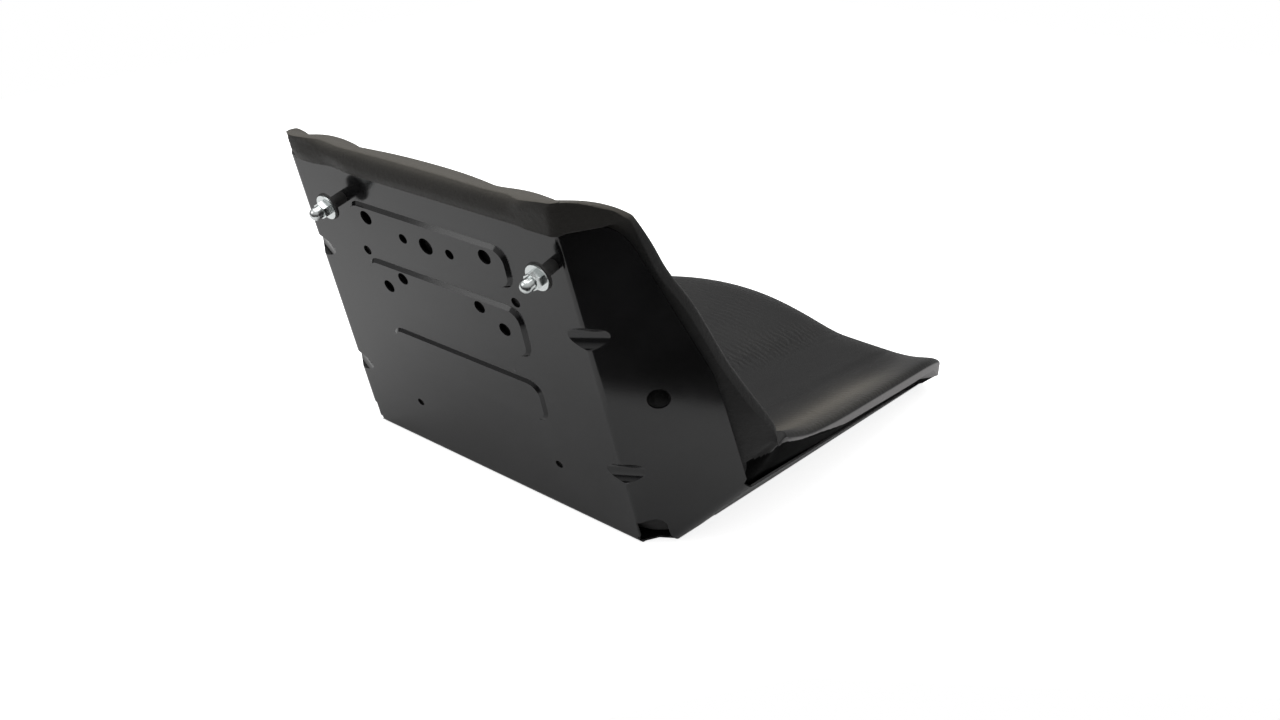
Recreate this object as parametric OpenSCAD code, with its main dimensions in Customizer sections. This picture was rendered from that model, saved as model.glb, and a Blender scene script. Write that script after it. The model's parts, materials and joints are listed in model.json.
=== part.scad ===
// Pan seat for a garden tractor: one pressed steel pan that carries the base, the back and
// the four folded wings, one moulded foam cushion lying in it, and two cap-nut studs that
// stand out of the back panel on spacer tubes.
// Frame: the origin is the middle of the four base bolt holes, on the underside of the base,
// which lies on z = 0. +Y points to the rear, +Z up. The geometry itself is worked out from
// the middle of the line where the back is folded up, and moved once by seat().

/* [Back panel] */
// Lean of the back from upright, in degrees
back_lean = 13.5; // [10:0.5:18]
// Height of the back panel along its face, from the fold to its top edge
back_h = 321; // [312:1:330]
// Half width of the back panel at the fold
fold_half = 175; // [172:1:178]
// Half width of the back panel at its top edge
top_half = 152; // [148:1:156]
// Thickness of the pressed sheet
sheet = 2; // [1.6:0.1:2.5]
// Outer radius of the long folds
fold_r = 8; // [6:0.5:9]

/* [Back wings] */
// Angle that each back wing is folded forward by, in degrees
wing_fold = 40; // [36:1:44]
// Width of the wing at its top edge, before the corner
wing_top_w = 28; // [22:1:32]
// Width of the wing below its rounded top corner
wing_shoulder_w = 52; // [48:1:54]
// Distance below the panel's top edge at which the rounded top corner ends
wing_shoulder_drop = 23; // [19:1:31]
// Width of the wing at the knee in its outer edge
wing_knee_w = 90; // [86:1:93]
// Height of the knee in the outer edge
wing_knee_t = 172; // [160:1:185]
// Width of the wing at its lower outer corner
wing_low_w = 103; // [98:1:106]
// Height of the lower outer corner
wing_low_t = 47; // [42:1:52]
// Diameter of the round hole in each wing
wing_hole_d = 19.5; // [12:0.5:24]
// Distance of the wing hole from the crease
wing_hole_s = 43.3; // [36:0.1:50]
// Height of the wing hole above the fold
wing_hole_t = 158; // [120:1:190]
// Outer radius of the rounded bend between back wing and base wing
mitre_r = 16; // [13:1:18]
// Radius of the open relief at each bottom corner, where the folds meet
relief_r = 12.5; // [11.5:0.5:13]
// Distance of the relief's middle from the crease
relief_s = 12.5; // [12:0.5:13.5]
// Height of the relief's middle above the fold
relief_t = 17; // [16:0.5:18]

/* [Base] */
// Length of the flat base from the fold to its front edge
base_l = 420; // [380:5:440]
// Half width of the flat base at the fold
base_fold_half = 190; // [188:1:191]
// Half width of the flat base at its front edge
base_front_half = 241; // [230:1:245]
// Height of the base wing at its front end
base_wing_front = 14; // [8:1:25]
// Spacing of the four base bolt holes across the seat
base_hole_x = 203.2; // [150:0.1:260]
// Spacing of the four base bolt holes fore and aft
base_hole_y = 279.4; // [150:0.1:300]
// Distance from the fold to the middle of the base bolt holes
base_hole_mid = 215; // [190:1:240]
// Diameter of the base bolt holes
base_hole_d = 8.8; // [8:0.1:11]

/* [Raised panels] */
// Height by which the two upper raised panels stand out to the rear
raise_top = 3; // [1.5:0.1:3.5]
// Height by which the lowest raised panel stands out to the rear
raise_low = 2.3; // [1.5:0.1:3.5]
// Half width of the raised panels
raise_half = 93; // [88:0.5:96]
// Distance of the top raised panel's upper edge below the panel's top edge
raise_a_drop = 29; // [27:0.5:31]
// Height of the top raised panel along the back
raise_a_h = 41; // [38:0.5:43]
// Distance of the middle raised panel's upper edge below the panel's top edge
raise_b_drop = 87.5; // [86:0.5:90]
// Height of the middle raised panel along the back
raise_b_h = 52.5; // [49:0.5:55]
// Distance of the lowest raised panel's upper edge below the panel's top edge
raise_c_drop = 165; // [160:1:170]
// Height of the lowest raised panel along the back
raise_c_h = 46; // [40:1:50]
// Corner radius of the raised panels
raise_r = 12; // [8:1:16]
// Slope width of the raised panels' edges
raise_slope = 3; // [1:0.5:4]

/* [Back panel holes] */
// Spacing of the large pair
big_sp = 139.7; // [130:0.1:150]
// Distance of the large pair below the panel's top edge
big_drop = 41.6; // [39:0.1:45]
// Diameter of the large pair
big_d = 13.3; // [10:0.1:14]
// Spacing of the small pair in the top raised panel
small_sp = 55.2; // [50:0.1:60]
// Distance of the small pair and of the middle hole below the panel's top edge
small_drop = 51.3; // [49:0.1:57]
// Diameter of the small pair
small_d = 9.3; // [8:0.1:11]
// Diameter of the middle hole
centre_d = 15.5; // [12:0.1:17]
// Spacing of the outer pair between the raised panels
end_sp = 177.8; // [174:0.1:180]
// Distance of the outer pair below the panel's top edge
end_drop = 81.5; // [78:0.1:83]
// Diameter of the outer pair
end_d = 9.3; // [8:0.1:10]
// Spacing of the inner pair in the middle raised panel
mid_sp = 92.8; // [88:0.1:98]
// Distance of that inner pair below the panel's top edge
mid_drop = 97.7; // [96:0.1:102]
// Diameter of the inner pair
mid_hole_d = 11.7; // [9:0.1:13]
// Spacing of the outer pair in the middle raised panel
low_sp = 140.8; // [134:0.1:148]
// Distance of that outer pair below the panel's top edge
low_drop = 112.9; // [109:0.1:118]
// Diameter of that outer pair
low_d = 12.4; // [9:0.1:13]
// Spacing of the lowest pair
bot_sp = 180.2; // [174:0.1:186]
// Height of the lowest pair above the fold
bot_t = 60.5; // [55:0.1:66]
// Diameter of the lowest pair
bot_d = 8.1; // [7:0.1:10]

/* [Pressed darts] */
// Distance of the upper dart in each back crease below the panel's top edge
dart_top_drop = 94; // [88:1:100]
// Height of the lower dart in each back crease above the fold
dart_low_t = 86; // [80:1:92]
// Distance of the dart in each base crease from the fold
dart_y = 64; // [58:1:80]
// Depth of a dart at the crease
dart_depth = 6.5; // [4:0.5:7]
// Radius of the groove that a dart is pressed with
dart_r = 13; // [11:0.5:14]

/* [Studs] */
// Distance of the right-hand stud (seen from the seat's front) from the middle
stud_x_a = 97.6; // [97.6:0.1:104]
// Distance of the other stud from the middle
stud_x_b = 142; // [134:0.5:143]
// Distance of both studs below the panel's top edge
stud_drop = 29.4; // [25:0.1:33]
// Thread diameter of the stud bolts
stud_d = 8; // [7.6:0.1:8.2]
// Clearance between the bolt and everything that it passes through
stud_gap = 0.2; // [0.1:0.05:0.4]
// Outer diameter of the spacer tube
tube_d = 10.6; // [10.4:0.1:12]
// Length of the spacer tube
tube_l = 15.5; // [12:0.5:18]
// Diameter of the black washer
seal_d = 24; // [18:0.5:26]
// Thickness of the black washer
seal_h = 2; // [1:0.1:3]
// Diameter of the bright flat washer
flat_d = 22; // [16:0.5:24]
// Thickness of the bright flat washer
flat_h = 1.6; // [1:0.1:2.5]
// Size across the flats of the cap nut and of the bolt head
nut_af = 13; // [12.5:0.1:14]
// Height of the cap nut's hexagon
nut_hex_h = 6.5; // [5:0.1:8]
// Height of the whole cap nut
nut_h = 16.5; // [15:0.1:18]
// Diameter of the cap nut's dome
dome_d = 11; // [10.4:0.1:12]
// Height of the bolt head
head_h = 5.3; // [4:0.1:6]

/* [Cushion] */
// Gap between the pan's inner face and the foam
foam_gap = 0.5; // [0.4:0.1:1]
// Distance of the foam's outer rim from the middle
rim_x = 264; // [260:1:266]
// Height of the foam's side face along the seat
side_h = 13; // [10:0.5:16]
// Height of the foam's side face along the back
side_back = 14; // [11:0.5:18]
// How far the foam reaches past the wing's outer edge
overhang = 11; // [8:1:14]
// How far the foam's rim is lifted off the pan at the corner between back and seat
corner_lift = 17; // [8:1:20]
// Height of the cushion's top lip above the back panel's top edge
lip_up = 20; // [16:1:24]
// How far the top lip hooks back over the panel's top edge
lip_back = 5; // [3:0.5:7]
// Front end of the cushion
foam_front = 447; // [440:1:455]
// Length over which the front of the seat rolls down
nose = 60; // [50:1:66]
// How far the front edge runs back towards the corners
front_sweep = 17; // [10:1:25]
// How much further the front edge runs back at its outer corners
front_round = 9; // [4:0.5:12]
// Thickness of the back cushion in the middle
back_thick = 46; // [38:1:52]
// Height of the seat's crowned middle above the underside of the base
crown_z = 58; // [52:1:62]
// Height of the valleys beside the crown
valley_z = 40; // [38:1:46]

/* [Hidden] */
$fn = 48;

// Heights above the fold of what keeps its distance from the panel's top edge.
wing_shoulder_t = back_h - wing_shoulder_drop;
raise_a = [back_h - raise_a_drop - raise_a_h, back_h - raise_a_drop];
raise_b = [back_h - raise_b_drop - raise_b_h, back_h - raise_b_drop];
raise_c = [back_h - raise_c_drop - raise_c_h, back_h - raise_c_drop];
big_t = back_h - big_drop;
small_t = back_h - small_drop;
end_t = back_h - end_drop;
mid_t = back_h - mid_drop;
low_t = back_h - low_drop;
dart_t = [back_h - dart_top_drop, dart_low_t];
stud_t = back_h - stud_drop;

function unit(v) = v / norm(v);
function mid(a, b, k) = a + (b - a) * k;
function clampk(k) = max(0, min(1, k));
function ease(k) = let (c = clampk(k)) c * c * (3 - 2 * c);

// Directions of the back panel: n_back points out to the rear, t_back up the panel.
n_back = [0, cos(back_lean), -sin(back_lean)];
t_back = [0, sin(back_lean), cos(back_lean)];
n_base = [0, 0, -1];

// Everything below is worked out once for the side s = 1 (+X) or s = -1 (-X).
function corner(s) = [s * fold_half, 0, 0];
function crease_dir(s) = unit(s * (top_half - fold_half) * [1, 0, 0] + back_h * t_back);
function panel_out(s) = unit([s, 0, 0] - (([s, 0, 0]) * crease_dir(s)) * crease_dir(s));
function wing_out(s) = cos(wing_fold) * panel_out(s) - sin(wing_fold) * n_back;
function n_wing(s) = cos(wing_fold) * n_back + sin(wing_fold) * panel_out(s);
function wing_pt(s, p) = corner(s) + p[0] * wing_out(s) + p[1] * crease_dir(s);
function low_corner(s) = wing_pt(s, [wing_low_w, wing_low_t]);

// The base wing is the plane through the base crease and the wing's lower outer corner.
function base_corner(s) = [s * base_fold_half, 0, 0];
function base_dir(s) = unit([s * (base_front_half - base_fold_half), -base_l, 0]);
function base_up(s) = let (e = low_corner(s) - base_corner(s), f = base_dir(s))
    unit(e - (e * f) * f);
function flip_down(v) = v[2] < 0 ? v : -v;
function n_skirt(s) = flip_down(unit(cross(base_dir(s), base_up(s))));
base_crease_l = norm([base_front_half - base_fold_half, base_l]);
// The mitre between back wing and base wing runs from here to the lower outer corner.
function mitre_at(s) = let (d = base_dir(s), b = base_corner(s), n = n_wing(s))
    b + d * ((n * (corner(s) - b)) / (n * d));

// Tangent offsets of the rounded folds: half the bend's flat length on either side.
function bend_angle(a, b) = acos(a * b);
function offs(a, b, r) = r * tan(bend_angle(a, b) / 2);
off_fold = offs(n_back, n_base, fold_r);
off_crease = offs(n_back, n_wing(1), fold_r);
off_skirt = offs(n_base, n_skirt(1), fold_r);
off_mitre = offs(n_wing(1), n_skirt(1), mitre_r);
// The relief leaves the crease free up to here, and the mitre bend starts this far up.
relief_top = relief_t + relief_r - 2;
mitre_gap = 2 + off_mitre * 0.95;
skirt_start = skirt_outline()[0][0];

// A flat plate of the sheet: its outer face holds the plane (o, ax, ay), its body is inside.
module plate(o, ax, ay, n_out, h, grow = 0) {
    az = cross(ax, ay);
    inward = az * n_out < 0;
    multmatrix([[ax[0], ay[0], az[0], o[0]], [ax[1], ay[1], az[1], o[1]],
            [ax[2], ay[2], az[2], o[2]], [0, 0, 0, 1]])
        translate([0, 0, inward ? -grow : -h])
            linear_extrude(h + grow) children();
}

// A rounded fold: the sheet turned about the line that is tangent to both plates.
module bend(p, n1, n2, r, a, b) {
    az = unit(cross(n1, n2));
    ay = cross(az, n1);
    o = p - (n1 + n2) * r / (1 + n1 * n2);
    w = bend_angle(n1, n2);
    multmatrix([[n1[0], ay[0], az[0], o[0]], [n1[1], ay[1], az[1], o[1]],
            [n1[2], ay[2], az[2], o[2]], [0, 0, 0, 1]])
        translate([0, 0, min(a, b)]) linear_extrude(abs(b - a))
            polygon(concat(arc_pts([0, 0], r, 0, w, 8), arc_pts([0, 0], r - sheet, w, 0, 8)));
}

// A drill or a peg along direction d through point p.
module along(p, d) {
    az = unit(d);
    ax = unit(cross(abs(az[0]) > 0.9 ? [0, 1, 0] : [1, 0, 0], az));
    ay = cross(az, ax);
    multmatrix([[ax[0], ay[0], az[0], p[0]], [ax[1], ay[1], az[1], p[1]],
            [ax[2], ay[2], az[2], p[2]], [0, 0, 0, 1]]) children();
}

// Frame of the back panel: x across, y up the panel, z to the rear.
function on_back(x, t, n = 0) = [x, 0, 0] + t * t_back + n * n_back;
module back_notch(x, t, r) along(on_back(x, t), n_back) cylinder(r = r, h = 12, center = true);
module back_hole(x, t, d) along(on_back(x, t), n_back) cylinder(d = d, h = 40, center = true);

function arc_pts(c, r, a0, a1, k) = [for (i = [0:k]) c + r * [cos(mid(a0, a1, i / k)),
    sin(mid(a0, a1, i / k))]];

// Outline of a back wing in its own plane: s out from the crease, t up along it.
function wing_outline() = let (g = mitre_at(1) - corner(1),
        m0 = [g * wing_out(1), g * crease_dir(1)], m = unit([wing_low_w, wing_low_t] - m0),
        q = [-m[1], m[0]], e = [wing_low_w, wing_low_t] + q * off_mitre)
    concat([[off_crease, relief_top]],
        [for (w = [105, 75, 45, 15, -15]) [relief_s + relief_r * cos(w), relief_t + relief_r * sin(w)]],
        [m0 + q * off_mitre + m * mitre_gap, e - m * 3,
        e + [0.6, 3], [mid(wing_low_w, wing_knee_w, 0.75), wing_knee_t - 28],
        [wing_knee_w, wing_knee_t],
        [mid(wing_shoulder_w, wing_knee_w, 0.78), mid(wing_shoulder_t, wing_knee_t, 0.78)],
        [wing_shoulder_w + 2.6, wing_shoulder_t - 8]],
        [for (i = [1:6]) let (k = i / 7, a = [wing_shoulder_w + 2.6, wing_shoulder_t - 8],
            b = [wing_shoulder_w - 4.5, back_h - 3.5], c = [wing_top_w, back_h + 0.9])
            (1 - k) * (1 - k) * a + 2 * k * (1 - k) * b + k * k * c],
        [[wing_top_w - 1, back_h + 4], [off_crease, back_h + 4]]);

// Outline of a base wing in its own plane: u forward along the base crease, w up the wing.
function skirt_outline() = let (e3 = low_corner(1) - base_corner(1),
        e = [e3 * base_dir(1), e3 * base_up(1)],
        m0 = [(mitre_at(1) - base_corner(1)) * base_dir(1), 0], m = unit(e - m0),
        q = [m[1], -m[0]], k0 = (off_skirt + m[0] * off_mitre) / m[1],
        et = e + q * off_mitre, l = base_crease_l)
    [m0 + q * off_mitre + m * k0, m0 + q * off_mitre + m * max(k0 + 1, mitre_gap), et - m * 3, et + [4, -3],
        [mid(et[0], l, 0.5), mid(et[1], base_wing_front, 0.54)],
        [l - 22, base_wing_front + 4], [l - 10, base_wing_front],
        [l - 3, base_wing_front - 5], [l + 4, base_wing_front - 10 + off_skirt],
        [l + 4, off_skirt]];

// Frame of the back panel, turned so that its z points out to the rear.
module raise_frame() multmatrix([[-1, 0, 0, 0],
    [0, t_back[1], n_back[1], 0], [0, t_back[2], n_back[2], 0], [0, 0, 0, 1]]) children();

// One raised panel as a solid with sloped sides; d = 0 gives its outside, d = sheet its inside.
module raised(edge, h, d) {
    r = raise_r - d;
    grow = raise_slope * (h + sheet + 1) / h;
    raise_frame() hull() for (x = [-1, 1], t = [0, 1])
        translate([x * (raise_half - raise_slope - d - r),
                t == 0 ? edge[0] + raise_slope + d + r : edge[1] - raise_slope - d - r,
                d > 0 ? -sheet - 1 : -sheet])
            cylinder(r1 = r + (d > 0 ? grow : raise_slope * (h + sheet) / h), r2 = r,
                h = d > 0 ? h - d + sheet + 1 : h + sheet, $fn = 32);
}

// A dart: a groove pressed across a crease at point p, to stiffen the fold.
// Its floor is added as a solid first, and the groove is cut from floor and pan together.
module dart_groove(p, n1, n2) {
    along(p + unit(n1 + n2) * (dart_r - dart_depth), unit(n1 - n2))
        cylinder(r = dart_r, h = 70, center = true);
}
module dart_web(p, n1, n2) {
    b = unit(n1 + n2);
    c = unit(cross(n1, n2));
    up = c[2] + abs(c[1]) * 0.01 > 0 ? c : -c;
    intersection() {
        along(p + b * (dart_r - dart_depth), unit(n1 - n2))
            cylinder(r = dart_r + sheet, h = 70, center = true);
        wedge(p - up * (dart_r + sheet + 4) - b * 0.6, n1, n2, up, 2 * (dart_r + sheet + 4));
    }
}
// Prism with its sharp edge on the crease, its two faces on the plates' outer faces.
module wedge(p, n1, n2, up, l) {
    b = unit(n1 + n2);
    w = unit(n1 - n2);
    g = 34;
    dep = g * tan(bend_angle(n1, n2) / 2);
    ax = w;
    ay = -b;
    az = cross(ax, ay);
    multmatrix([[ax[0], ay[0], az[0], p[0]], [ax[1], ay[1], az[1], p[1]],
            [ax[2], ay[2], az[2], p[2]], [0, 0, 0, 1]])
        translate([0, 0, az * up > 0 ? 0 : -l])
            linear_extrude(l) polygon([[0, 0], [g, dep], [-g, dep]]);
}
function on_crease(s, t) = corner(s) + t * crease_dir(s);
function on_base_crease(s, y) = base_corner(s) + y * base_dir(s);

module pan_blank() {
    // back panel
    plate([0, 0, 0], [1, 0, 0], t_back, n_back, sheet) polygon([
        [-fold_end, off_fold], [fold_end, off_fold],
        [fold_half - side_at(back_h + 3), back_h + 3],
        [-(fold_half - side_at(back_h + 3)), back_h + 3]]);
    // base
    plate([0, 0, 0], [1, 0, 0], [0, -1, 0], n_base, sheet) polygon([
        [-base_edge(skirt_start), skirt_start], [-mid(fold_half, base_edge(0), 0.3), skirt_start * 0.72],
        [-fold_end, off_fold], [fold_end, off_fold],
        [mid(fold_half, base_edge(0), 0.3), skirt_start * 0.72], [base_edge(skirt_start), skirt_start],
        [base_edge(base_l + 2), base_l + 2], [-base_edge(base_l + 2), base_l + 2]]);
    bend([0, 0, 0], n_base, n_back, fold_r, -fold_end, fold_end);
    for (s = [-1, 1]) {
        plate(corner(s), wing_out(s), crease_dir(s), n_wing(s), sheet)
            polygon(wing_outline());
        plate(base_corner(s), base_dir(s), base_up(s), n_skirt(s), sheet)
            polygon(skirt_outline());
        crease_bend(s);
        skirt_bend(s);
        mitre_bend(s);
    }
}
// How far the panel's edge stands inside the fold's half width at height t, tangent included.
function side_at(t) = let (o = panel_out(1)) (off_crease + t * (o * t_back)) / o[0];
fold_end = fold_half - side_at(off_fold);
function base_edge(y) = let (c = base_dir(1))
    base_fold_half + y * c[0] / -c[1] - off_skirt / -c[1];

module crease_bend(s) {
    len = back_h / (crease_dir(s) * t_back) + 4;
    z = unit(cross(n_back, n_wing(s))) * crease_dir(s) > 0 ? 1 : -1;
    bend(corner(s), n_back, n_wing(s), fold_r, z * relief_top, z * len);
}
module skirt_bend(s) {
    z = unit(cross(n_base, n_skirt(s))) * base_dir(s) > 0 ? 1 : -1;
    bend(base_corner(s), n_base, n_skirt(s), fold_r, z * skirt_start, z * (base_crease_l + 4));
}
module mitre_bend(s) {
    e = low_corner(s) - mitre_at(s);
    z = unit(cross(n_wing(s), n_skirt(s))) * unit(e) > 0 ? 1 : -1;
    bend(mitre_at(s), n_wing(s), n_skirt(s), mitre_r, z * mitre_gap, z * (norm(e) - 3));
}

module pan() color([0.07, 0.07, 0.075]) {
    difference() {
        union() {
            pan_blank();
            raised(raise_a, raise_top, 0);
            raised(raise_b, raise_top, 0);
            raised(raise_c, raise_low, 0);
            for (s = [-1, 1]) {
                for (t = dart_t) dart_web(on_crease(s, t), n_back, n_wing(s));
                dart_web(on_base_crease(s, dart_y), n_base, n_skirt(s));
            }
        }
        raised(raise_a, raise_top, sheet);
        raised(raise_b, raise_top, sheet);
        raised(raise_c, raise_low, sheet);
        // the top and front edges are sheared flat
        plate(on_back(-300, back_h), [1, 0, 0], t_back, n_back, 400, 100)
            square([600, 60]);
        translate([-300, -base_l - 60, -50]) cube([600, 60, 120]);
        for (x = [-1, 1]) {
            back_hole(x * big_sp / 2, big_t, big_d);
            back_hole(x * small_sp / 2, small_t, small_d);
            back_hole(x * end_sp / 2, end_t, end_d);
            back_hole(x * mid_sp / 2, mid_t, mid_hole_d);
            back_hole(x * low_sp / 2, low_t, low_d);
            back_hole(x * bot_sp / 2, bot_t, bot_d);
            along(wing_pt(x, [wing_hole_s, wing_hole_t]), n_wing(x))
                cylinder(d = wing_hole_d, h = 30, center = true);
            back_notch(x * fold_end, off_fold, 3);
            for (t = dart_t) dart_groove(on_crease(x, t), n_back, n_wing(x));
            dart_groove(on_base_crease(x, dart_y), n_base, n_skirt(x));
            for (y = [-1, 1]) translate([x * base_hole_x / 2,
                    -base_hole_mid + y * base_hole_y / 2, 0])
                cylinder(d = base_hole_d, h = 30, center = true);
        }
        back_hole(0, small_t, centre_d);
        back_hole(stud_x_a, stud_t, stud_d + 2 * stud_gap);
        back_hole(-stud_x_b, stud_t, stud_d + 2 * stud_gap);
    }
}

// Foam: distances are measured from a pivot line inside the seat's corner, along rays that
// turn from the back panel's normal to straight down, so one rule covers back, corner, seat.
piv = [0, -95, 105];
piv_t = piv * t_back;
planes = [for (s = [-1, 1]) each [[n_wing(s), corner(s)], [n_skirt(s), base_corner(s)]]];
walls = concat([[n_back, [0, 0, 0]], [n_base, [0, 0, 0]]], planes);
function reach(o, d) = let (k = 3.2, far = [for (w = walls) let (c = w[0] * d)
        c < 0.02 ? 900 : (w[0] * (w[1] - o) - sheet - foam_gap) / c],
        lo = min(far)) lo - k * ln(sum_exp(far, lo, k));
function sum_exp(f, lo, k, i = 0) = i == len(f) ? 0
    : exp(-(f[i] - lo) / k) + sum_exp(f, lo, k, i + 1);

// Rows: [origin (y, z), direction (y, z), place], place 0 at the top, 1 at the corner, 2 front.
top_t = back_h + lip_up;
back_rows = [for (i = [0:15]) let (t = mid(back_h + 1, piv_t, i / 15))
    [on_back(0, t, n_back * piv), n_back, 1 - (t - piv_t) / (top_t - piv_t)]];
turn_rows = [for (i = [1:8]) let (a = mid(-back_lean, -90, i / 8))
    [piv, [0, cos(a), sin(a)], 1 + 0.3 * i / 8]];
seat_rows = [for (i = [1:12]) let (y = mid(-piv[1], foam_front - nose, i / 12))
    [[0, -y, piv[2]], [0, 0, -1], mid(1.3, 2, i / 12)]];
lip_rows = [for (t = [top_t, top_t - 0.6, top_t - 2.4, top_t - 6, top_t - 11, back_h + 2.5])
    [on_back(0, t, n_back * piv), n_back, 1 - (t - piv_t) / (top_t - piv_t)]];
nose_rows = [for (a = [15, 31, 47, 62, 77, 90]) let (y = foam_front - nose + nose * sin(a))
    [[0, -y, piv[2]], [0, 0, -1], 2 + a / 90]];
rows = concat(lip_rows, back_rows, turn_rows, seat_rows, nose_rows);
n_lip = len(lip_rows);

// Half width of the foam at each row, from the wing's outline plus the overhang.
function rim_at(r) = let (p = r[2], t = (1 - p) * (top_t - piv_t) + piv_t)
    p <= 1 ? back_rim(t) : p <= 2 ? mid(rim_x, rim_x + 4, p - 1)
    : rim_x + 4 - 10 * (1 - cos((p - 2) * 90));
function back_rim(t) = t > back_h - 6
    ? mid(wing_rim(back_h - 6), top_half + 4, 1 - sqrt(1 - pow((t - back_h + 6) / (lip_up + 6), 2)))
    : wing_rim(t);
function wing_rim(t) = lookup(t, [[piv_t, rim_x], [100, rim_x - 1], [115, rim_x - 5],
    [wing_knee_t, rim_x - 38 + overhang], [back_h - 81, rim_x - 58 + overhang],
    [back_h - 52, rim_x - 71 + overhang], [wing_shoulder_t - 6, rim_x - 76 + overhang],
    [back_h - 6, rim_x - 82 + overhang]]);

// Stations across the seat: valley, bolster crest and rim, with the height of each.
function valley_x(p) = p < 1 ? mid(80, 92, ease(p)) : mid(92, 131, ease(p - 1));
function crest_x(p) = p < 1 ? mid(124, 182, ease(p / 0.6)) : mid(190, 212, ease(p - 1));
function mid_d(p) = p < 1 ? back_thick + 8 * sin(180 * clampk(p))
    : mid(back_thick + 2, crown_z, ease((p - 1) / 0.9));
function valley_d(p) = p < 1 ? back_thick - 9 : mid(back_thick, valley_z, ease(p - 1));
function crest_d(p) = p < 1 ? mid(back_thick + 6, 88, ease(p))
    : mid(88, 38, pow(clampk(p - 1), 0.8));
function across(x, xr, p, rim_d) = let (a = abs(x), v = valley_x(p), c = crest_x(p))
    a < v ? mid_d(p) - (mid_d(p) - valley_d(p)) * pow(a / v, 2.4)
    : a < c ? mid(valley_d(p), crest_d(p), ease(pow((a - v) / (c - v), 0.85)))
    : mid(crest_d(p), rim_d, ease((a - c) / (xr - c)));

// Columns as fractions between the stations, from the middle to the rim.
edge = 9;
function col_x(p, xr) = let (v = valley_x(p), c = min(crest_x(p), xr - 3 * edge))
    concat([for (i = [0:5]) v * i / 5], [for (i = [1:5]) mid(v, c, i / 5)],
        [for (i = [1:3]) mid(c, xr - edge, i / 3)],
        [for (a = [30, 55, 75, 90]) xr - edge + edge * sin(a)]);
function edge_drop(x, xr) = abs(x) <= xr - edge ? 0
    : edge * 0.75 * (1 - sqrt(max(0, 1 - pow((abs(x) - xr + edge) / edge, 2))));
half_cols = [for (r = rows) col_x(min(r[2], 2), rim_at(r))];
ncol = 2 * len(half_cols[0]) - 1;
function xs(i) = let (h = half_cols[i], m = len(h))
    [for (j = [0:ncol - 1]) j < m ? -h[m - 1 - j] : h[j - m + 1]];

// The rim stands off the pan's edge at the corner between back and seat.
function rim_lift(p) = corner_lift * ease((p - 0.8) / 0.25) * (1 - ease((p - 1.15) / 0.4));
function lift_at(p, x, xr) = rim_lift(p) * ease((abs(x) - xr + 26) / 24);

// Hollows in the foam's hidden side: room for the bolt heads and for the pressed darts.
hollows = concat([[on_back(stud_x_a, stud_t), 9], [on_back(-stud_x_b, stud_t), 9]],
    [for (s = [-1, 1]) each concat([for (t = dart_t) [on_crease(s, t), 9]],
        [[on_base_crease(s, dart_y), 9]])]);
function hollow_at(q, i = 0) = i == len(hollows) ? 0
    : max(hollows[i][1] * (1 - ease((norm(q - hollows[i][0]) - 24) / 16)), hollow_at(q, i + 1));

// Roundings of the top lip and the front nose: how much of the thickness is left, 0 to 1.
// The top of the back thins out towards the lip.
function thin_at(i, x) = let (t = row_t(rows[i]), lo = top_t - 60)
    t < lo ? 1 : max(0.16, 1 - mid(0.6, 1, ease((abs(x) - 95) / 60)) * pow((t - lo) / 62, 2));
function full_at(i) = let (r = rows[i])
    i < n_lip - 1 ? sqrt(1 - pow(1 - (i == 0 ? 0.02 : (top_t - row_t(r)) / lip_up), 2))
    : r[2] > 2 ? sqrt(max(0.0004, 1 - pow(sin((r[2] - 2) * 90), 2))) : 1;
function row_t(r) = (1 - r[2]) * (top_t - piv_t) + piv_t;

// The front edge runs back towards the corners, and the rows behind it follow it less.
function sweep(r, x) = [x, r[2] <= 1.3 ? 0 : (front_sweep * ease(abs(x) / 150)
    + front_round * ease((abs(x) - 228) / 38)) * ease((min(r[2], 2) - 1.3) / 0.7), 0];
function back_pt(i, x) = let (r = rows[i], o = r[0] + sweep(r, x), d = reach(o, r[1]),
        q = o + r[1] * d, lift = i < n_lip ? lip_back * (1 - ease((abs(x) - 150) / 40))
            + sheet : 0)
    q + r[1] * (lift - hollow_at(q) - lift_at(r[2], x, rim_at(r)));
function front_pt(i, x) = let (r = rows[i], p = min(r[2], 2), xr = rim_at(r),
        o = r[0] + sweep(r, x), q = o + r[1] * reach(o, r[1]), side = mid(side_back, side_h,
            ease((p - 0.75) / 0.35)),
        ref = p <= 1 ? -(n_back * piv) : mid(-(n_back * piv), piv[2], clampk((p - 1) / 0.3)),
        rim_o = r[0] + sweep(r, xr), rim_d = ref - reach(rim_o, r[1]) + side + 0.45 * rim_lift(p),
        rear = ref - reach(o, r[1]),
        h = max(across(x, xr, p, rim_d), rear + side * 0.9 + 0.45 * lift_at(p, x, xr)))
    o + r[1] * (ref - rear - (h - rear) * thin_at(i, x) + edge_drop(x, xr) * thin_at(i, x));
function blend_pt(i, x, front) = let (f = front_pt(i, x), b = back_pt(i, x), k = full_at(i),
        m = rows[i][2] > 2 ? mid(b, f, 0.45) : mid(b, f, 0.4))
    mid(m, front ? f : b, k);

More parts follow.
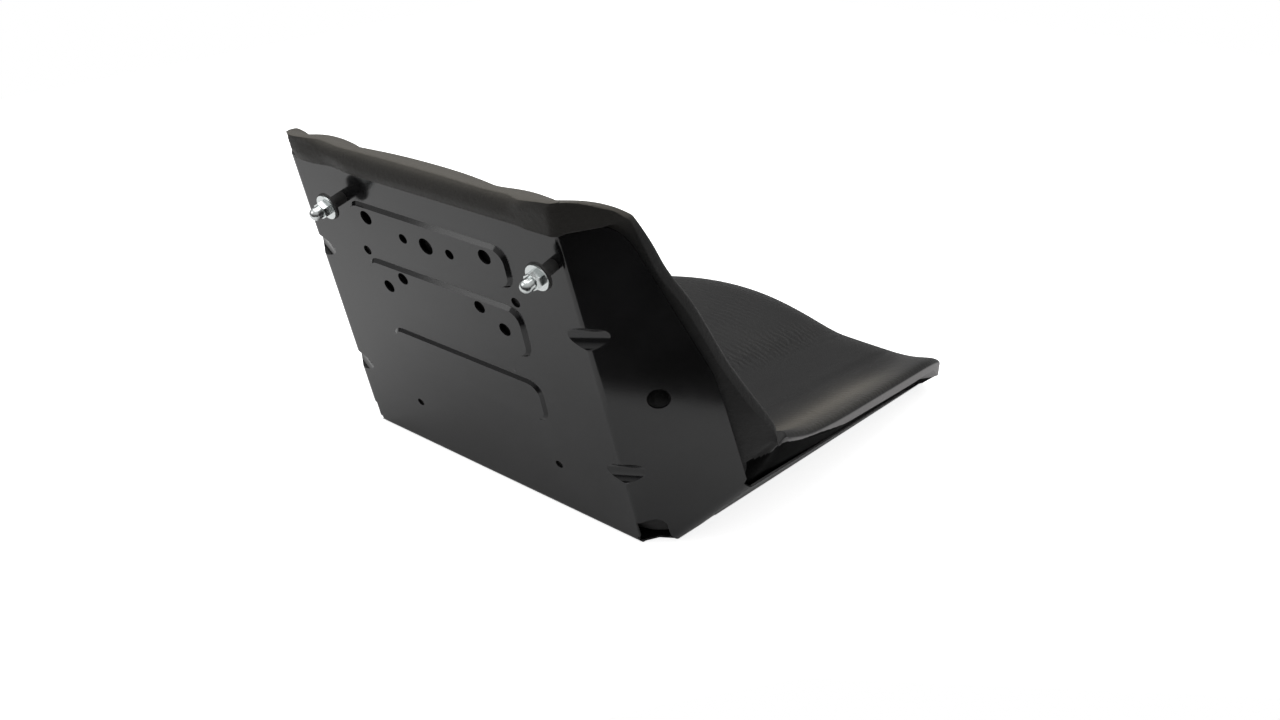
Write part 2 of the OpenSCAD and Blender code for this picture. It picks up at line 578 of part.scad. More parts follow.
module cushion() {
    nr = len(rows);
    pts = concat([for (i = [0:nr - 1]) each [for (x = xs(i)) blend_pt(i, x, true)]],
        [for (i = [0:nr - 1]) each [for (x = xs(i)) blend_pt(i, x, false)]]);
    base = nr * ncol;
    quads = concat(
        [for (i = [0:nr - 2], j = [0:ncol - 2]) let (a = i * ncol + j)
            [a, a + 1, a + ncol + 1, a + ncol]],
        [for (i = [0:nr - 2], j = [0:ncol - 2]) let (a = base + i * ncol + j)
            [a, a + ncol, a + ncol + 1, a + 1]],
        [for (i = [0:nr - 2]) let (a = i * ncol) [a, a + ncol, base + a + ncol, base + a]],
        [for (i = [0:nr - 2]) let (a = i * ncol + ncol - 1)
            [a, base + a, base + a + ncol, a + ncol]],
        [for (j = [0:ncol - 2]) [j, base + j, base + j + 1, j + 1]],
        [for (j = [0:ncol - 2]) let (a = (nr - 1) * ncol + j) [a, a + 1, base + a + 1, base + a]]);
    color([0.13, 0.125, 0.12])
        polyhedron(pts, [for (q = quads) each [[q[0], q[1], q[2]], [q[0], q[2], q[3]]]]);
}

// Stud parts, all on one axis square to the back panel; n is the distance behind it.
module stud_at(x, n) along(on_back(x, stud_t, n), n_back) children();
seal_n = tube_l;
flat_n = seal_n + seal_h;
nut_n = flat_n + flat_h;
bolt_tip = nut_n + nut_h - 4.5;

module bolt(x) color([0.72, 0.73, 0.74]) {
    stud_at(x, -sheet - head_h) cylinder(d = nut_af / cos(30), h = head_h, $fn = 6);
    stud_at(x, 0) rotate_extrude() polygon([[0, -sheet - head_h / 2],
        [stud_d / 2, -sheet - head_h / 2], [stud_d / 2, bolt_tip - 1],
        [stud_d / 2 - 0.8, bolt_tip], [0, bolt_tip]]);
}
module tube(x) color([0.62, 0.63, 0.65]) stud_at(x, 0) difference() {
    cylinder(d = tube_d, h = tube_l);
    translate([0, 0, -1]) cylinder(d = stud_d + 2 * stud_gap, h = tube_l + 2);
}
module ring(x, n, d, h) stud_at(x, n) difference() {
    cylinder(d = d, h = h);
    translate([0, 0, -1]) cylinder(d = stud_d + 2 * stud_gap, h = h + 2);
}
module seal(x) color([0.05, 0.05, 0.05]) ring(x, seal_n, seal_d, seal_h);
module washer(x) color([0.78, 0.79, 0.8]) ring(x, flat_n, flat_d, flat_h);
module cap_nut(x) color([0.8, 0.81, 0.82]) stud_at(x, nut_n) difference() {
    union() {
        intersection() {
            cylinder(d = nut_af / cos(30), h = nut_hex_h, $fn = 6);
            cylinder(d1 = nut_af + 1.2, d2 = nut_af + 1.2 + 4 * nut_hex_h, h = nut_hex_h);
            cylinder(d1 = nut_af + 0.8 + 4 * nut_hex_h, d2 = nut_af + 0.8, h = nut_hex_h);
        }
        cylinder(d = dome_d, h = nut_h - dome_d / 2);
        translate([0, 0, nut_h - dome_d / 2]) sphere(d = dome_d);
    }
    translate([0, 0, -1]) cylinder(d = stud_d + 2 * stud_gap, h = 1 + bolt_tip - nut_n + 0.5);
}

// Moves the part from the fold line to the middle of the base bolt holes.
module seat() translate([0, base_hole_mid, 0]) children();

seat() pan();
seat() cushion();
seat() bolt(stud_x_a);  // bolt_right
seat() tube(stud_x_a);  // tube_right
seat() seal(stud_x_a);  // seal_right
seat() washer(stud_x_a);  // washer_right
seat() cap_nut(stud_x_a);  // nut_right
seat() bolt(-stud_x_b);  // bolt_left
seat() tube(-stud_x_b);  // tube_left
seat() seal(-stud_x_b);  // seal_left
seat() washer(-stud_x_b);  // washer_left
seat() cap_nut(-stud_x_b);  // nut_left
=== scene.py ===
import json
import math

import bmesh
import bpy
import numpy as np
from mathutils import Matrix, Vector


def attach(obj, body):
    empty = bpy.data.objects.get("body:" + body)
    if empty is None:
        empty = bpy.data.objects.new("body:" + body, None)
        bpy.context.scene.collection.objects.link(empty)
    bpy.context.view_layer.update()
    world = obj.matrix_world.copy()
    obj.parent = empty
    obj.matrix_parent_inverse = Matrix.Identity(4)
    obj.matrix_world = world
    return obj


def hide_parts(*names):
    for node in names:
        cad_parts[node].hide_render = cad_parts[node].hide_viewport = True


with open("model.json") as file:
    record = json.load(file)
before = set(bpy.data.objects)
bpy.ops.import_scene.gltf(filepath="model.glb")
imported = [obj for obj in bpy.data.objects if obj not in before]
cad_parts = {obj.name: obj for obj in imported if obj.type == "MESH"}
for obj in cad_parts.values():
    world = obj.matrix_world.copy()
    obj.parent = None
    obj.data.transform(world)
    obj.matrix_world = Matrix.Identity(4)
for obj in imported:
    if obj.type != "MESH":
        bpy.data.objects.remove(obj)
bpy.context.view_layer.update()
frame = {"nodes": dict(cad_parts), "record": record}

# Lengths are in metres. X runs across the seat, Y from its front to the rear, Z up.
LEAN = math.radians(13.5)                                   # of the back, to the rear
UP_BACK = np.array((0, math.sin(LEAN), math.cos(LEAN)))     # up along the back panel
OUT_BACK = np.array((0, math.cos(LEAN), -math.sin(LEAN)))   # out of the back panel, rearwards
FOLD = np.array((0, 0.215, 0))                              # where back panel and base meet


# ---------------------------------------------------------------- node helpers
def new_group(name, inputs, outputs):
    """A shader node group; inputs are (name, kind, value), outputs are (name, kind)."""
    tree = bpy.data.node_groups.new(name, "ShaderNodeTree")
    for label, kind, value in inputs:
        socket = tree.interface.new_socket(label, in_out="INPUT", socket_type=kind)
        if value is not None:
            socket.default_value = value
    for label, kind in outputs:
        tree.interface.new_socket(label, in_out="OUTPUT", socket_type=kind)
    return tree, tree.nodes.new("NodeGroupInput").outputs, tree.nodes.new("NodeGroupOutput").inputs


def link(tree, source, target):
    tree.links.new(source, target)


def feed(tree, socket, value):
    """Give a socket a number, a colour or another node's output."""
    if isinstance(value, (int, float)):
        socket.default_value = value
    elif isinstance(value, tuple):
        socket.default_value = (*value, 1)
    else:
        link(tree, value, socket)


def math_node(tree, operation, a, b, clamp=False):
    node = tree.nodes.new("ShaderNodeMath")
    node.operation = operation
    node.use_clamp = clamp
    feed(tree, node.inputs[0], a)
    feed(tree, node.inputs[1], b)
    return node.outputs[0]


def times(tree, a, b):
    return math_node(tree, "MULTIPLY", a, b)


def ramp(tree, factor, stops):
    """A ramp of greys; stops are (position, value)."""
    node = tree.nodes.new("ShaderNodeValToRGB")
    elements = node.color_ramp.elements
    while len(elements) < len(stops):
        elements.new(0.5)
    for element, (position, grey) in zip(elements, stops):
        element.position = position
        element.color = (grey, grey, grey, 1)
    link(tree, factor, node.inputs[0])
    return node.outputs[0]


def noise(tree, vector, scale, detail, rough):
    node = tree.nodes.new("ShaderNodeTexNoise")
    for label, value in (("Scale", scale), ("Detail", detail), ("Roughness", rough)):
        node.inputs[label].default_value = value
    link(tree, vector, node.inputs["Vector"])
    return node.outputs["Fac"]


def place(tree):
    """Position on the piece, in metres."""
    coordinates = tree.nodes.new("ShaderNodeTexCoord")
    mapping = tree.nodes.new("ShaderNodeMapping")
    link(tree, coordinates.outputs["Object"], mapping.inputs["Vector"])
    return mapping.outputs[0]


def mix_rgb(tree, factor, a, b):
    node = tree.nodes.new("ShaderNodeMix")
    node.data_type = "RGBA"
    for label, value in (("Factor", factor), ("A", a), ("B", b)):
        feed(tree, node.inputs[label], value)
    return node.outputs["Result"]


def bump(tree, height, strength, distance):
    node = tree.nodes.new("ShaderNodeBump")
    node.inputs["Strength"].default_value = strength
    node.inputs["Distance"].default_value = distance
    link(tree, height, node.inputs["Height"])
    return node.outputs[0]


def span(tree, factor, low, high):
    """Stretch a factor of 0 to 1 to the range from low to high."""
    node = tree.nodes.new("ShaderNodeMapRange")
    node.inputs["To Min"].default_value = low
    node.inputs["To Max"].default_value = high
    link(tree, factor, node.inputs["Value"])
    return node.outputs[0]


def painted_value(tree, name):
    """A mask that the cushion's mesh carries at its points."""
    node = tree.nodes.new("ShaderNodeAttribute")
    node.attribute_name = name
    return node.outputs["Fac"]


# ---------------------------------------------------------------- surface effects
def make_dust_group():
    """Fine dust: a thin uneven film and a few pale specks, as a mask from 0 to 1."""
    tree, given, result = new_group("settled_dust",
        [("Vector", "NodeSocketVector", None), ("Film", "NodeSocketFloat", 0.3),
         ("Specks", "NodeSocketFloat", 0.5)],
        [("Mask", "NodeSocketFloat"), ("Height", "NodeSocketFloat")])
    film = ramp(tree, noise(tree, given["Vector"], 9.0, 6.0, 0.62), [(0.42, 0.0), (0.75, 1.0)])
    cells = tree.nodes.new("ShaderNodeTexVoronoi")
    cells.inputs["Scale"].default_value = 34.0
    link(tree, given["Vector"], cells.inputs["Vector"])
    dot = ramp(tree, cells.outputs["Distance"], [(0.0, 1.0), (0.035, 0.85), (0.06, 0.0)])
    few = math_node(tree, "GREATER_THAN", noise(tree, given["Vector"], 21.0, 0.0, 0.55), 0.66)
    speck = times(tree, times(tree, dot, few), given["Specks"])
    mask = math_node(tree, "ADD", times(tree, film, given["Film"]), speck, True)
    link(tree, mask, result["Mask"])
    link(tree, speck, result["Height"])
    return tree


def make_coat_group():
    """Slow unevenness of a sprayed or dipped coat: orange peel and a longer roll."""
    tree, given, result = new_group("coat_unevenness",
        [("Vector", "NodeSocketVector", None), ("Peel", "NodeSocketFloat", 0.4),
         ("Roll", "NodeSocketFloat", 0.5)],
        [("Height", "NodeSocketFloat"), ("Patch", "NodeSocketFloat")])
    peel = noise(tree, given["Vector"], 420.0, 2.0, 0.5)
    roll = noise(tree, given["Vector"], 14.0, 2.0, 0.5)
    height = math_node(tree, "ADD", times(tree, peel, given["Peel"]),
                       times(tree, roll, given["Roll"]))
    patch = ramp(tree, noise(tree, given["Vector"], 5.0, 5.0, 0.6), [(0.3, 0.0), (0.7, 1.0)])
    link(tree, height, result["Height"])
    link(tree, patch, result["Patch"])
    return tree


def make_skin_group():
    """Skin of moulded foam: fine grain, pores and short wrinkles across the seat."""
    tree, given, result = new_group("foam_skin",
        [("Vector", "NodeSocketVector", None), ("Creases", "NodeSocketFloat", 0.5),
         ("Grain", "NodeSocketFloat", 0.5)],
        [("Height", "NodeSocketFloat"), ("Tone", "NodeSocketFloat")])
    grain = noise(tree, given["Vector"], 900.0, 3.0, 0.6)
    pore = noise(tree, given["Vector"], 260.0, 3.0, 0.6)
    wrinkles = tree.nodes.new("ShaderNodeTexWave")
    wrinkles.bands_direction = "Y"
    for label, value in (("Scale", 40.0), ("Distortion", 7.0), ("Detail", 3.0),
                         ("Detail Scale", 1.6)):
        wrinkles.inputs[label].default_value = value
    link(tree, given["Vector"], wrinkles.inputs["Vector"])
    crease = times(tree, wrinkles.outputs["Fac"], given["Creases"])
    fine = math_node(tree, "ADD", grain, times(tree, pore, 1.3))
    height = math_node(tree, "ADD", times(tree, fine, given["Grain"]), crease)
    tone = ramp(tree, noise(tree, given["Vector"], 7.0, 6.0, 0.6), [(0.3, 0.0), (0.72, 1.0)])
    link(tree, height, result["Height"])
    link(tree, tone, result["Tone"])
    return tree


DUST = make_dust_group()
COAT = make_coat_group()
SKIN = make_skin_group()


# ---------------------------------------------------------------- materials
def material(name):
    made = bpy.data.materials.new(name)
    made.use_nodes = True
    return made, made.node_tree, made.node_tree.nodes["Principled BSDF"].inputs


def effect(tree, group, vector, **values):
    """One of the surface effects above, with its named inputs set."""
    node = tree.nodes.new("ShaderNodeGroup")
    node.node_tree = group
    link(tree, vector, node.inputs["Vector"])
    for label, value in values.items():
        node.inputs[label].default_value = value
    return node


def black_pan_paint():
    made, tree, shader = material("black_pan_paint")
    vector = place(tree)
    coat = effect(tree, COAT, vector, Peel=0.16, Roll=0.9)
    dust = effect(tree, DUST, vector, Film=0.10, Specks=0.7).outputs["Mask"]
    base = mix_rgb(tree, coat.outputs["Patch"], (0.0052, 0.0052, 0.0056), (0.0066, 0.0065, 0.0068))
    base = mix_rgb(tree, dust, base, (0.10, 0.10, 0.105))
    link(tree, base, shader["Base Color"])
    rough = span(tree, coat.outputs["Patch"], 0.11, 0.15)
    rough = math_node(tree, "ADD", rough, times(tree, dust, 0.35))
    link(tree, rough, shader["Roughness"])
    shader["IOR"].default_value = 1.5
    link(tree, bump(tree, coat.outputs["Height"], 0.06, 0.0012), shader["Normal"])
    return made


def moulded_foam_skin():
    made, tree, shader = material("moulded_foam_skin")
    vector = place(tree)
    skin = effect(tree, SKIN, vector, Grain=0.8)
    link(tree, span(tree, painted_value(tree, "wrinkled"), 0.08, 1.9), skin.inputs["Creases"])
    dust = effect(tree, DUST, vector, Film=0.2, Specks=0.25).outputs["Mask"]
    base = mix_rgb(tree, skin.outputs["Tone"], (0.0070, 0.0068, 0.0069), (0.0112, 0.0109, 0.0107))
    # The first two masks are painted light: a paler, warm sheen on the lit tops of lip and
    # bolster, and a light grey on the lit outer side face of the rim. The dust is real.
    for mask, strength, colour in (
            (painted_value(tree, "painted_sheen"), 0.9, (0.112, 0.103, 0.087)),
            (painted_value(tree, "rim"), 0.85, (0.26, 0.252, 0.252)),
            (dust, 0.4, (0.08, 0.077, 0.072))):
        base = mix_rgb(tree, times(tree, mask, strength), base, colour)
    link(tree, base, shader["Base Color"])
    link(tree, span(tree, skin.outputs["Tone"], 0.52, 0.62), shader["Roughness"])
    shader["Specular IOR Level"].default_value = 0.3
    link(tree, bump(tree, skin.outputs["Height"], 0.55, 0.0009), shader["Normal"])
    return made


# Painted shade: near-black matte foam with hardly any specular, for the shadowed faces under the
# seat's rim.
def painted_shade_underside():
    made, tree, shader = material("painted_shade_underside")
    skin = effect(tree, SKIN, place(tree), Creases=0.0, Grain=0.8)
    base = mix_rgb(tree, skin.outputs["Tone"], (0.0012, 0.0012, 0.0012), (0.0024, 0.0023, 0.0023))
    link(tree, base, shader["Base Color"])
    shader["Roughness"].default_value = 0.85
    shader["Specular IOR Level"].default_value = 0.05
    link(tree, bump(tree, skin.outputs["Height"], 0.4, 0.0009), shader["Normal"])
    return made


def bright_zinc():
    made, tree, shader = material("bright_zinc")
    vector = place(tree)
    coat = effect(tree, COAT, vector, Peel=0.5, Roll=0.4)
    dust = effect(tree, DUST, vector, Film=0.2, Specks=0.1).outputs["Mask"]
    base = mix_rgb(tree, coat.outputs["Patch"], (0.60, 0.635, 0.63), (0.76, 0.79, 0.785))
    base = mix_rgb(tree, times(tree, dust, 0.4), base, (0.4, 0.39, 0.37))
    link(tree, base, shader["Base Color"])
    shader["Metallic"].default_value = 1.0
    link(tree, span(tree, coat.outputs["Patch"], 0.2, 0.34), shader["Roughness"])
    link(tree, bump(tree, coat.outputs["Height"], 0.12, 0.0006), shader["Normal"])
    return made


def black_washer_rubber():
    made, tree, shader = material("black_washer_rubber")
    vector = place(tree)
    skin = effect(tree, SKIN, vector, Creases=0.0, Grain=0.7)
    dust = effect(tree, DUST, vector, Film=0.4, Specks=0.1).outputs["Mask"]
    base = mix_rgb(tree, skin.outputs["Tone"], (0.012, 0.012, 0.012), (0.022, 0.021, 0.02))
    base = mix_rgb(tree, times(tree, dust, 0.5), base, (0.08, 0.08, 0.08))
    link(tree, base, shader["Base Color"])
    link(tree, span(tree, skin.outputs["Tone"], 0.5, 0.65), shader["Roughness"])
    link(tree, bump(tree, skin.outputs["Height"], 0.3, 0.0006), shader["Normal"])
    return made


LOOK = {"black_paint": black_pan_paint(), "skinned_foam": moulded_foam_skin(),
        "zinc": bright_zinc(), "black_rubber": black_washer_rubber()}
PAINTED_SHADE_UNDERSIDE = painted_shade_underside()


# ---------------------------------------------------------------- pan, studs and their hardware
SAME_POINT = 0.000004      # points closer than this are one
ONE_FLAT = math.radians(0.25)
SHARP_BEND = math.radians(26)
LARGE_FLAT = 0.0009        # square metres; flats above this keep hard edges


def soft_bends_group():
    """Geometry nodes that shade a solid smooth over bends, but not into its large flats."""
    tree = bpy.data.node_groups.new("soft_bends", "GeometryNodeTree")
    for direction in ("INPUT", "OUTPUT"):
        tree.interface.new_socket("Geometry", in_out=direction,
                                  socket_type="NodeSocketGeometry")
    start = tree.nodes.new("NodeGroupInput")
    end = tree.nodes.new("NodeGroupOutput")
    faces = tree.nodes.new("GeometryNodeSetShadeSmooth")
    edges = tree.nodes.new("GeometryNodeSetShadeSmooth")
    edges.domain = "EDGE"
    edges.inputs["Shade Smooth"].default_value = False
    angle = tree.nodes.new("GeometryNodeInputMeshEdgeAngle").outputs["Unsigned Angle"]
    area = tree.nodes.new("GeometryNodeInputMeshFaceArea").outputs["Area"]
    hard = tree.nodes.new("FunctionNodeBooleanMath")
    hard.operation = "OR"
    for i, (measure, limit) in enumerate(((angle, SHARP_BEND), (area, LARGE_FLAT))):
        above = tree.nodes.new("FunctionNodeCompare")
        above.operation = "GREATER_THAN"
        above.inputs["B"].default_value = limit
        link(tree, measure, above.inputs["A"])
        link(tree, above.outputs[0], hard.inputs[i])
    link(tree, start.outputs[0], faces.inputs["Geometry"])
    link(tree, faces.outputs[0], edges.inputs["Geometry"])
    link(tree, hard.outputs[0], edges.inputs["Selection"])
    link(tree, edges.outputs[0], end.inputs[0])
    return tree


SOFT_BENDS = soft_bends_group()


def smooth_bends(solid):
    """Bends turn evenly and flats stay flat: each flat first becomes one big face."""
    solid.modifiers.new("joined", "WELD").merge_threshold = SAME_POINT
    flats = solid.modifiers.new("whole_flats", "DECIMATE")
    flats.decimate_type = "DISSOLVE"
    flats.angle_limit = ONE_FLAT
    solid.modifiers.new("soft_bends", "NODES").node_group = SOFT_BENDS


slots = {part["node"]: part["material_slot"] for part in frame["record"]["subparts"]}
for node, solid in frame["nodes"].items():
    finish = "black_rubber" if node.startswith("tube") else slots[node]
    solid.data.materials.clear()
    solid.data.materials.append(LOOK[finish])
    smooth_bends(solid)


# ---------------------------------------------------------------- the cushion
# Lower edge of the seat's rim along each side: y and z.
RIM_Y = (-0.24, -0.209, -0.152, -0.082, 0.023, 0.068, 0.112, 0.129, 0.140, 0.149, 0.155, 0.166)
RIM_Z = (0.012, 0.017, 0.029, 0.044, 0.068, 0.0815, 0.0935, 0.0992, 0.1005, 0.0965, 0.092,
         0.0843)

# The seat's lines, as half width at y = 0 and its change along y.
CROWN_LINE = (0.092, -0.22)
BOLSTER_FOOT = (0.1816, -0.117)

# Where back and seat meet, from the rim down to the pan, on the side of negative X.
JOINT_TOP, JOINT_END = np.array((-0.262, 0.143, 0.112)), np.array((-0.240, 0.164, 0.083))

# The round hole of the wing on that side: middle, direction and half width.
WING_HOLE = np.array((-0.1953, 0.2229, 0.1603))
WING_NORMAL = np.array((-0.64, 0.76, -0.13)) / np.linalg.norm((-0.64, 0.76, -0.13))
WING_HOLE_R = 0.0105

PAN_TOP = 0.3205           # height of the pan's top edge, up the back panel
LIP_FOOT = 0.3196          # height of the lip's lower edge behind it
TABLE_GAP = 0.0026         # the cushion stays this far above the table


def rise(value, low, high):
    """0 below low, 1 above high, with a soft step between."""
    part = np.clip((value - low) / (high - low), 0.0, 1.0)
    return part * part * (3.0 - 2.0 * part)


def hump(value, middle, width):
    """1 at the middle, falling away softly on both sides."""
    return np.exp(-((value - middle) / width) ** 2)


def beside(side, y, line):
    """Distance of points outwards from one of the seat's lines."""
    return side - (line[0] + line[1] * y)


def off_stretch(points, a, b):
    """Distance of points from the stretch between a and b."""
    part = np.clip((points - a) @ (b - a) / ((b - a) @ (b - a)), 0.0, 1.0)
    return np.linalg.norm(points - a - part[:, None] * (b - a), axis=1)


def raise_rim_at_joint(points, side):
    """Each side's rim rises towards the joint and meets the back further behind."""
    near = hump(points[:, 1], 0.128, 0.024) * hump(points[:, 2], 0.099, 0.022)
    near *= rise(side, 0.230, 0.256)
    points += near[:, None] * np.array((0, 0.012, 0.0105))


def pressed_in(points, side, top):
    """How deep each point sinks: seat lines, joint folds, hollows behind the wing holes."""
    y = points[:, 1]
    along = rise(y, -0.2, -0.15) * rise(0.09 - y, 0.0, 0.05)
    crown = beside(side, y, CROWN_LINE)
    sink = 0.0013 * (hump(crown, 0.0, 0.0032) + hump(crown, 0.012, 0.0032)) * along
    foot = beside(side, y, BOLSTER_FOOT)
    sink += 0.0022 * hump(foot, 0.0, 0.0048) * rise(y, -0.215, -0.14)
    sink *= top
    one_side = np.column_stack((-side, y, points[:, 2]))
    sink += 0.0018 * hump(off_stretch(one_side, JOINT_TOP, JOINT_END), 0.0, 0.004)
    from_hole = one_side - WING_HOLE
    depth = from_hole @ WING_NORMAL
    off_axis = np.linalg.norm(from_hole - depth[:, None] * WING_NORMAL, axis=1)
    sink += 0.014 * rise(WING_HOLE_R - off_axis, 0.0, 0.005) * (np.abs(depth) < 0.01)
    return sink


def seat_lip_on_pan(points, normals, side, height, behind):
    """The lip's left end sags, its right end stands up, and both cover the pan's edge."""
    x = points[:, 0]
    lift = -0.008 * rise(x, 0.145, 0.18) * rise(height, 0.27, 0.325)
    lift += 0.002 * hump(x, 0.118, 0.02) * rise(height, 0.325, 0.338)
    lift += 0.0058 * hump(x, -0.150, 0.027) * rise(height, 0.325, 0.338)
    points += lift[:, None] * UP_BACK
    # the lip follows the pan: straight over the back panel, then round the bend of the wing
    overhang, bend = np.where(x > 0, 0.0012, 0.0036), np.where(x > 0, 0.147, 0.152)
    reach = overhang - 0.92 * np.maximum(side - bend, 0.0)
    cover = (height > PAN_TOP) & (normals @ OUT_BACK > 0.1) & (behind > reach - 0.02)
    cover = cover * rise(side, 0.105, 0.125) * rise(0.186 - side, 0.0, 0.01)
    push = cover * rise(0.352 - height, 0.0, 0.02) * np.maximum(reach - behind, 0.0)
    points += push[:, None] * OUT_BACK
    # its lowest few millimetres close over the pan's top edge
    height_now = (points - FOLD) @ UP_BACK
    low = (height_now > PAN_TOP) & (height_now < 0.3262) & (side < 0.158)
    low &= (points - FOLD) @ OUT_BACK > 0.0004
    drop = LIP_FOOT + 0.25 * (height_now[low] - PAN_TOP) - height_now[low]
    points[low] += drop[:, None] * UP_BACK


def fill_front_corners(points, normals, side):
    """The front corners are full and reach down to the pan."""
    corner = rise(-points[:, 1], 0.165, 0.2) * rise(side, 0.19, 0.235)
    corner *= rise(0.03 - normals[:, 2], 0.0, 0.5)
    points[:, 2] -= 0.013 * corner * rise(points[:, 2], 0.004, 0.02)
    points[:, 2] = np.maximum(points[:, 2], TABLE_GAP)


def paint_masks(mesh, normals, y, side, height, top):
    """Painted sheen on the lit tops of the lip and bolster, where the foam wrinkles, and painted
    light on the outer side of the rim.
    """
    up = normals[:, 2]
    # painted sheen on the lip: paler where it faces up, with a little on its rear face
    lip = rise(height, 0.306, 0.325) * (0.2 + 0.56 * rise(up, 0.1, 0.8))
    # painted sheen along the bolster crest where it faces up, fading towards the front
    crest = hump(side, 0.236, 0.021) * rise(up, 0.3, 0.9) * rise(0.14 - y, 0.0, 0.06)
    crest *= 0.08 + 0.92 * rise(y, -0.15, -0.04)
    along = rise(y, -0.2, -0.15) * rise(0.09 - y, 0.0, 0.05)
    beside_crown = 1.2 * hump(beside(side, y, CROWN_LINE), -0.012, 0.017) * along
    on_crown = 0.5 * rise(0.085 - side, 0.0, 0.05)
    masks = {
        "painted_sheen": np.clip(lip + crest, 0, 1),
        "wrinkled": top * np.clip(beside_crown + 0.9 * crest + on_crown, 0, 1),
        # painted light: the rim's outer side face, facing sideways, gets a light grey where light
        # falls on it
        "rim": rise(side, 0.246, 0.258) * rise(0.45 - up, 0.0, 0.4) * rise(0.15 - y, 0.0, 0.03)}
    for name, values in masks.items():
        mesh.attributes.new(name, "FLOAT", "POINT").data.foreach_set("value", values)


def moulded_details(mesh):
    """The creases and dents of the foam, with its masks of painted sheen, painted rim light and
    wrinkles, on the finished mesh.
    """
    count = len(mesh.vertices)
    points, normals = np.empty(count * 3), np.empty(count * 3)
    mesh.vertices.foreach_get("co", points)
    mesh.vertex_normals.foreach_get("vector", normals)
    points, normals = points.reshape(-1, 3), normals.reshape(-1, 3)
    side = np.abs(points[:, 0])
    raise_rim_at_joint(points, side)
    height = (points - FOLD) @ UP_BACK
    behind = (points - FOLD) @ OUT_BACK
    top = rise(normals[:, 2], 0.35, 0.75) * rise(0.19 - height, 0.0, 0.03)
    points -= normals * pressed_in(points, side, top)[:, None]
    seat_lip_on_pan(points, normals, side, height, behind)
    fill_front_corners(points, normals, side)
    mesh.vertices.foreach_set("co", points.ravel())
    paint_masks(mesh, normals, points[:, 1], side, height, top)


def shade_under_rim(mesh):
    """Below its rim each side of the seat tucks under: those faces take painted shade, a
    near-black matte foam for the shadow under the rim.
    """
    net = bmesh.new()
    net.from_mesh(mesh)
    rim = list(zip(RIM_Y, RIM_Z))
    for (y0, z0), (y1, z1) in zip(rim, rim[1:]):
        near = {}
        for face in net.faces:
            middle = face.calc_center_median()
            if abs(middle.x) > 0.2 and y0 - 0.009 < middle.y < y1 + 0.009 and middle.z < 0.13:
                near.update(dict.fromkeys((face, *face.edges, *face.verts)))
        bmesh.ops.bisect_plane(net, geom=list(near), dist=0.00002, plane_co=(0, y0, z0),
                               plane_no=(0, z0 - z1, y1 - y0))
    for face in net.faces:
        middle, normal = face.calc_center_median(), face.normal
        outward = normal.x * math.copysign(1, middle.x)
        below = middle.y < 0.163 and middle.z < np.interp(middle.y, RIM_Y, RIM_Z)
        tucked = outward > 0.3 or (normal.z < -0.3 and abs(middle.x) > 0.23)
        if abs(middle.x) > 0.2 and below and tucked:
            face.material_index = 1
    net.to_mesh(mesh)
    net.free()


def whole_net():
    """The solid's own net of faces, in four-sided faces where they fit."""
    net = bmesh.new()
    net.from_mesh(frame["nodes"]["cushion"].data)
    bmesh.ops.remove_doubles(net, verts=net.verts[:], dist=0.00001)
    bmesh.ops.join_triangles(net, faces=net.faces[:], angle_face_threshold=math.radians(50),
                             angle_shape_threshold=math.radians(70))
    mesh = bpy.data.meshes.new("foam_cushion")
    net.to_mesh(mesh)
    net.free()
    return mesh


def make_cushion():
    """The cushion as one closed mesh, finer and rounder than the solid."""
    piece = bpy.data.objects.new("foam_cushion", whole_net())
    bpy.context.scene.collection.objects.link(piece)
    finer = piece.modifiers.new("finer", "SUBSURF")
    finer.levels = finer.render_levels = 2
    settle = piece.modifiers.new("settle", "SMOOTH")
    settle.factor = 0.5
    settle.iterations = 4
    shaped = piece.evaluated_get(bpy.context.evaluated_depsgraph_get())
    mesh = bpy.data.meshes.new_from_object(shaped)
    piece.modifiers.clear()
    piece.data = mesh
    mesh.polygons.foreach_set("use_smooth", [True] * len(mesh.polygons))
    mesh.materials.clear()
    mesh.materials.append(LOOK["skinned_foam"])
    # the second material is painted shade, for the faces under the rim
    mesh.materials.append(PAINTED_SHADE_UNDERSIDE)
    moulded_details(mesh)
    shade_under_rim(mesh)
    mesh.update()
    return piece


cushion = make_cushion()
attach(cushion, "root")
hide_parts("cushion")


# ---------------------------------------------------------------- table, light and camera
# The table ends beside the seat, where the glossy wing mirrors its edge.
TABLE_Z = -0.0005
TABLE_OUTLINE = ((-0.365, 0.27), (-0.28, 0.38), (-0.2, 0.62), (1.8, 1.6), (1.8, -2.2),
                 (-2.2, -2.2), (-1.2, -0.3))

CAMERA_PLACE = (-0.648555, 0.834745, 0.602906)
CAMERA_TURN = math.radians(217.68)
CAMERA_HEIGHT = math.radians(28.128)
FOCAL_PIXELS, PICTURE_WIDTH = 1100, 1280


def pale_table():
    made, tree, shader = material("pale_table")
    shader["Base Color"].default_value = (0.9, 0.9, 0.9, 1)
    shader["Roughness"].default_value = 0.9
    shader["Specular IOR Level"].default_value = 0.0
    shader["Emission Color"].default_value = (1, 1, 1, 1)
    seen = tree.nodes.new("ShaderNodeLightPath").outputs["Is Camera Ray"]
    link(tree, span(tree, seen, 0.0, 0.78), shader["Emission Strength"])
    return made


def lay_table():
    mesh = bpy.data.meshes.new("table")
    corners = [(x, y, TABLE_Z) for x, y in TABLE_OUTLINE]
    mesh.from_pydata(corners, [], [tuple(range(len(corners)))])
    mesh.materials.append(pale_table())
    table = bpy.data.objects.new("table", mesh)
    bpy.context.scene.collection.objects.link(table)


def hang_lamp(name, spot, aim, size, power):
    light = bpy.data.lights.new(name, "AREA")
    light.shape = "RECTANGLE"
    light.size, light.size_y = size
    light.energy = power
    lamp = bpy.data.objects.new(name, light)
    lamp.location = spot
    lamp.rotation_euler = (Vector(aim) - Vector(spot)).to_track_quat("-Z", "Y").to_euler()
    bpy.context.scene.collection.objects.link(lamp)


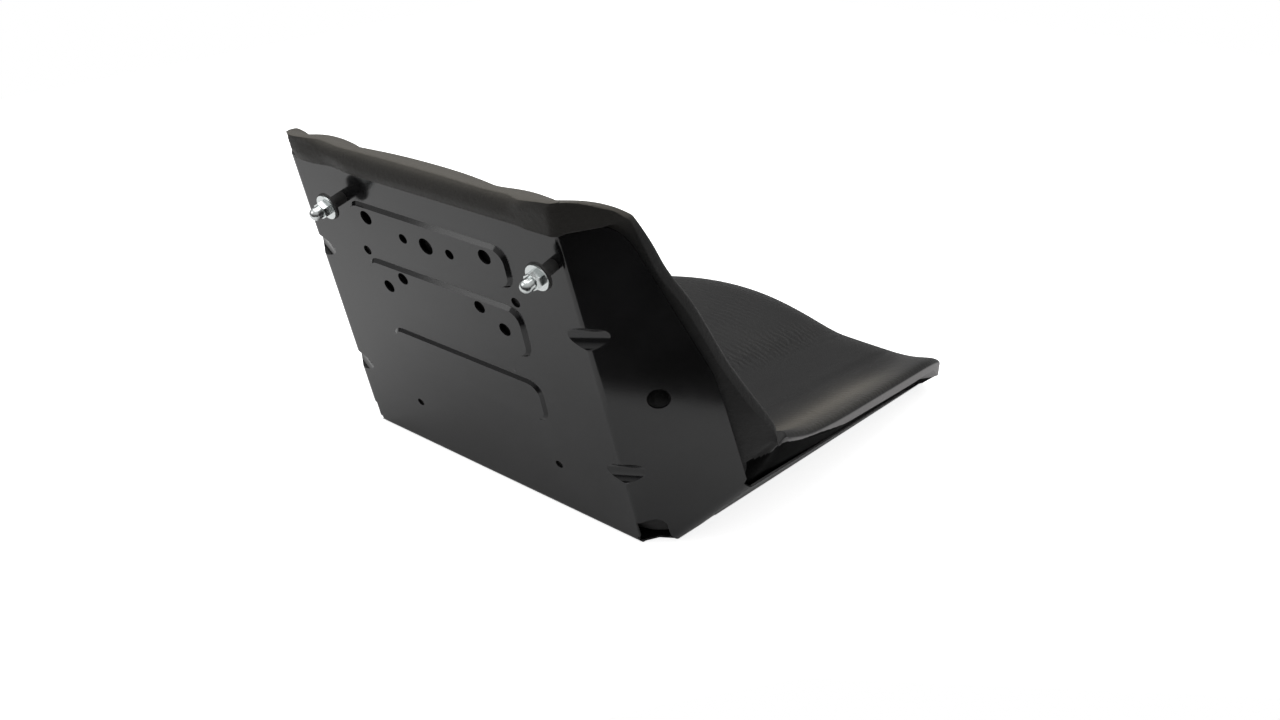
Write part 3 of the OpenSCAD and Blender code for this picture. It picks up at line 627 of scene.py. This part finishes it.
def studio_world():
    """White behind the seat for the camera, a soft grey room for light and mirror images."""
    world = bpy.data.worlds.new("studio")
    bpy.context.scene.world = world
    world.use_nodes = True
    tree = world.node_tree
    tree.nodes.clear()
    split = tree.nodes.new("ShaderNodeSeparateXYZ")
    link(tree, tree.nodes.new("ShaderNodeTexCoord").outputs["Generated"], split.inputs[0])
    height = tree.nodes.new("ShaderNodeMapRange")
    height.inputs["From Min"].default_value = -1.0
    link(tree, split.outputs["Z"], height.inputs["Value"])
    room = tree.nodes.new("ShaderNodeBackground")
    link(tree, ramp(tree, height.outputs[0], [(0.48, 0.03), (0.53, 0.25), (0.7, 0.55),
                                              (1.0, 0.7)]), room.inputs["Color"])
    white = tree.nodes.new("ShaderNodeBackground")
    white.inputs["Color"].default_value = (1, 1, 1, 1)
    choose = tree.nodes.new("ShaderNodeMixShader")
    link(tree, tree.nodes.new("ShaderNodeLightPath").outputs["Is Camera Ray"], choose.inputs[0])
    link(tree, room.outputs[0], choose.inputs[1])
    link(tree, white.outputs[0], choose.inputs[2])
    link(tree, choose.outputs[0], tree.nodes.new("ShaderNodeOutputWorld").inputs[0])


def set_camera():
    lens = bpy.data.cameras.new("view")
    camera = bpy.data.objects.new("view", lens)
    bpy.context.scene.collection.objects.link(camera)
    level = math.cos(CAMERA_HEIGHT)
    back = Vector((math.sin(CAMERA_TURN) * level, -math.cos(CAMERA_TURN) * level,
                   math.sin(CAMERA_HEIGHT)))
    right = Vector((math.cos(CAMERA_TURN), math.sin(CAMERA_TURN), 0))
    columns = (right, back.cross(right), back, Vector(CAMERA_PLACE))
    camera.matrix_world = Matrix([[c[i] for c in columns] for i in range(3)] + [[0, 0, 0, 1]])
    lens.sensor_width = 36.0
    lens.lens = FOCAL_PIXELS / PICTURE_WIDTH * lens.sensor_width
    lens.clip_start = 0.05
    bpy.context.scene.camera = camera


lay_table()
hang_lamp("overhead", (0.2, -0.1, 2.0), (0, 0, 0.1), (1.8, 1.8), 26)
hang_lamp("behind_left", (1.1, 1.9, 1.5), (0, 0.1, 0.25), (1.2, 1.0), 7)
studio_world()
set_camera()
bpy.context.scene.view_settings.view_transform = "Standard"
